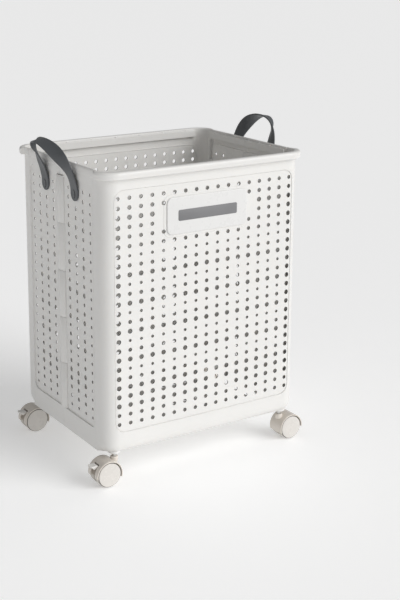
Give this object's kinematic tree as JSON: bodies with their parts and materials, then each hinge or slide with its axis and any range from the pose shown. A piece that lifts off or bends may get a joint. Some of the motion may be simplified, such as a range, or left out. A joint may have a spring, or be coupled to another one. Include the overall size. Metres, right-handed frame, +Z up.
{
  "type": "folding linen trolley",
  "caption": "Perforated plastic linen basket on swivel casters, two braked, with strap handles, a lift-up floor and side leaves that fold so the shells close flat.",
  "frame": {"origin": "on the ground under the middle of the body", "axes": "+Z up, front towards -Y, +X to the right seen from the front"},
  "size_m": [0.5346, 0.37, 0.6435],
  "materials": {
    "white_plastic": "satin moulded polypropylene",
    "label_plastic": "satin, blank",
    "steel": "drawn wire",
    "grey_strap": "soft flexible plastic",
    "grey_stud": "moulded plastic",
    "socket_plastic": "moulded plastic",
    "cream_plastic": "glossy warm white",
    "wheel_plastic": "semi-gloss warm white",
    "brake_plastic": "glossy white"
  },
  "bodies": {
    "back_shell": {"back_shell": "white_plastic", "left_rear_hinge_pin": "steel", "right_rear_hinge_pin": "steel", "floor_hinge_pin": "steel", "caster_rl_socket": "socket_plastic", "caster_rr_socket": "socket_plastic"},
    "left_rear_leaf": {"left_rear_leaf": "white_plastic", "left_mid_hinge_pin": "steel", "left_rear_strap_stud": "grey_stud", "left_strap": "grey_strap"},
    "left_front_leaf": {"left_front_leaf": "white_plastic", "left_front_strap_stud": "grey_stud"},
    "front_shell": {"front_shell": "white_plastic", "label_plate": "label_plastic", "left_front_hinge_pin": "steel", "right_front_hinge_pin": "steel", "caster_fl_socket": "socket_plastic", "caster_fr_socket": "socket_plastic"},
    "right_rear_leaf": {"right_rear_leaf": "white_plastic", "right_mid_hinge_pin": "steel", "right_rear_strap_stud": "grey_stud", "right_strap": "grey_strap"},
    "right_front_leaf": {"right_front_leaf": "white_plastic", "right_front_strap_stud": "grey_stud"},
    "floor_panel": {"floor_panel": "white_plastic"},
    "caster_fl": {"caster_fl_stem": "steel", "caster_fl_hood": "cream_plastic", "caster_fl_axle": "steel"},
    "wheel_fl_outer": {"caster_fl_wheel_outer": "wheel_plastic"},
    "wheel_fl_inner": {"caster_fl_wheel_inner": "wheel_plastic"},
    "brake_fl": {"caster_fl_brake": "brake_plastic"},
    "caster_fr": {"caster_fr_stem": "steel", "caster_fr_hood": "cream_plastic", "caster_fr_axle": "steel"},
    "wheel_fr_outer": {"caster_fr_wheel_outer": "wheel_plastic"},
    "wheel_fr_inner": {"caster_fr_wheel_inner": "wheel_plastic"},
    "caster_rl": {"caster_rl_stem": "steel", "caster_rl_hood": "cream_plastic", "caster_rl_axle": "steel"},
    "wheel_rl_outer": {"caster_rl_wheel_outer": "wheel_plastic"},
    "wheel_rl_inner": {"caster_rl_wheel_inner": "wheel_plastic"},
    "brake_rl": {"caster_rl_brake": "brake_plastic"},
    "caster_rr": {"caster_rr_stem": "steel", "caster_rr_hood": "cream_plastic", "caster_rr_axle": "steel"},
    "wheel_rr_outer": {"caster_rr_wheel_outer": "wheel_plastic"},
    "wheel_rr_inner": {"caster_rr_wheel_inner": "wheel_plastic"}
  },
  "joints": [
    {"name": "fold", "type": "hinge", "parent": "back_shell", "child": "left_rear_leaf", "pos_m": [-0.215, 0.137, 0.3], "axis": [0, 0, 1], "range_deg": [0, 90]},
    {"name": "left_mid_hinge", "type": "hinge", "parent": "left_rear_leaf", "child": "left_front_leaf", "pos_m": [-0.222, 0, 0.3], "axis": [0, 0, 1], "range_deg": [-180, 0], "deforming": ["left_strap"]},
    {"name": "left_front_hinge", "type": "hinge", "parent": "left_front_leaf", "child": "front_shell", "pos_m": [-0.215, -0.137, 0.3], "axis": [0, 0, 1], "range_deg": [0, 90]},
    {"name": "right_rear_hinge", "type": "hinge", "parent": "back_shell", "child": "right_rear_leaf", "pos_m": [0.215, 0.137, 0.3], "axis": [0, 0, 1], "range_deg": [-90, 0]},
    {"name": "right_mid_hinge", "type": "hinge", "parent": "right_rear_leaf", "child": "right_front_leaf", "pos_m": [0.222, 0, 0.3], "axis": [0, 0, 1], "range_deg": [0, 180], "deforming": ["right_strap"]},
    {"name": "floor_flip", "type": "hinge", "parent": "back_shell", "child": "floor_panel", "pos_m": [0, 0.156, 0.058], "axis": [-1, 0, 0], "range_deg": [0, 90]},
    {"name": "swivel_fl", "type": "hinge", "parent": "front_shell", "child": "caster_fl", "pos_m": [-0.195, -0.154, 0.07], "axis": [0, 0, 1], "continuous": true},
    {"name": "wheel_fl_outer", "type": "hinge", "parent": "caster_fl", "child": "wheel_fl_outer", "pos_m": [-0.214, -0.154, 0.0245], "axis": [0, 1, 0], "continuous": true},
    {"name": "wheel_fl_inner", "type": "hinge", "parent": "caster_fl", "child": "wheel_fl_inner", "pos_m": [-0.214, -0.154, 0.0245], "axis": [0, 1, 0], "continuous": true},
    {"name": "brake_fl", "type": "hinge", "parent": "caster_fl", "child": "brake_fl", "pos_m": [-0.2346, -0.154, 0.0429], "axis": [0, -1, 0], "range_deg": [0, 12]},
    {"name": "swivel_fr", "type": "hinge", "parent": "front_shell", "child": "caster_fr", "pos_m": [0.195, -0.154, 0.07], "axis": [0, 0, 1], "continuous": true},
    {"name": "wheel_fr_outer", "type": "hinge", "parent": "caster_fr", "child": "wheel_fr_outer", "pos_m": [0.214, -0.154, 0.0245], "axis": [0, 1, 0], "continuous": true},
    {"name": "wheel_fr_inner", "type": "hinge", "parent": "caster_fr", "child": "wheel_fr_inner", "pos_m": [0.214, -0.154, 0.0245], "axis": [0, 1, 0], "continuous": true},
    {"name": "swivel_rl", "type": "hinge", "parent": "back_shell", "child": "caster_rl", "pos_m": [-0.195, 0.154, 0.07], "axis": [0, 0, 1], "continuous": true},
    {"name": "wheel_rl_outer", "type": "hinge", "parent": "caster_rl", "child": "wheel_rl_outer", "pos_m": [-0.214, 0.154, 0.0245], "axis": [0, 1, 0], "continuous": true},
    {"name": "wheel_rl_inner", "type": "hinge", "parent": "caster_rl", "child": "wheel_rl_inner", "pos_m": [-0.214, 0.154, 0.0245], "axis": [0, 1, 0], "continuous": true},
    {"name": "brake_rl", "type": "hinge", "parent": "caster_rl", "child": "brake_rl", "pos_m": [-0.2346, 0.154, 0.0429], "axis": [0, -1, 0], "range_deg": [0, 12]},
    {"name": "swivel_rr", "type": "hinge", "parent": "back_shell", "child": "caster_rr", "pos_m": [0.195, 0.154, 0.07], "axis": [0, 0, 1], "continuous": true},
    {"name": "wheel_rr_outer", "type": "hinge", "parent": "caster_rr", "child": "wheel_rr_outer", "pos_m": [0.214, 0.154, 0.0245], "axis": [0, 1, 0], "continuous": true},
    {"name": "wheel_rr_inner", "type": "hinge", "parent": "caster_rr", "child": "wheel_rr_inner", "pos_m": [0.214, 0.154, 0.0245], "axis": [0, 1, 0], "continuous": true}
  ],
  "couplings": [
    {"joint": "left_mid_hinge", "follows": "fold", "ratio": -2},
    {"joint": "left_front_hinge", "follows": "fold", "ratio": 1},
    {"joint": "right_rear_hinge", "follows": "fold", "ratio": -1},
    {"joint": "right_mid_hinge", "follows": "fold", "ratio": 2}
  ]
}
